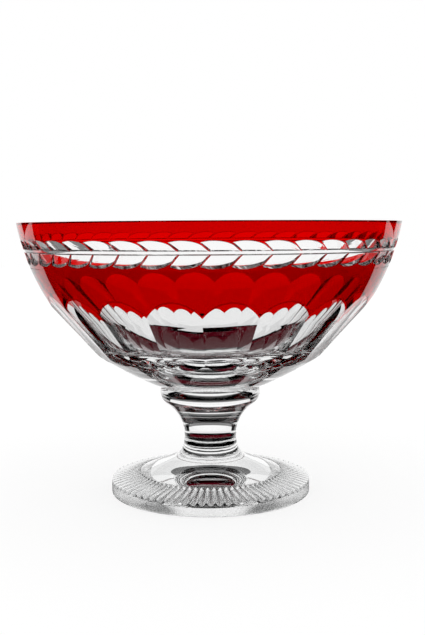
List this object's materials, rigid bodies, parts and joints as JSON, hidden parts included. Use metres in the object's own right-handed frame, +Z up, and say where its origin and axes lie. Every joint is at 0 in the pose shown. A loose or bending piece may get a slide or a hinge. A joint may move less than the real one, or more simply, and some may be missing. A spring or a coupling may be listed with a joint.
{
  "type": "footed salad bowl",
  "caption": "Footed salad bowl of clear crystal cased in ruby, cut with a laurel border and hollow flutes, on a round collar, a waisted stem and a ribbed spread foot.",
  "frame": {"origin": "centre of the foot on the table", "axes": "+Z up along the axis of the bowl, -Y towards the viewer of the picture"},
  "size_m": [0.2498, 0.2498, 0.179],
  "materials": {
    "crystal": "polished clear crystal",
    "ruby": "polished ruby casing"
  },
  "bodies": {
    "root": {"crystal_bowl": "crystal", "ruby_rim_band": "ruby", "ruby_lower_band": "ruby", "merese": "crystal", "stem": "crystal", "foot": "crystal"}
  },
  "joints": []
}
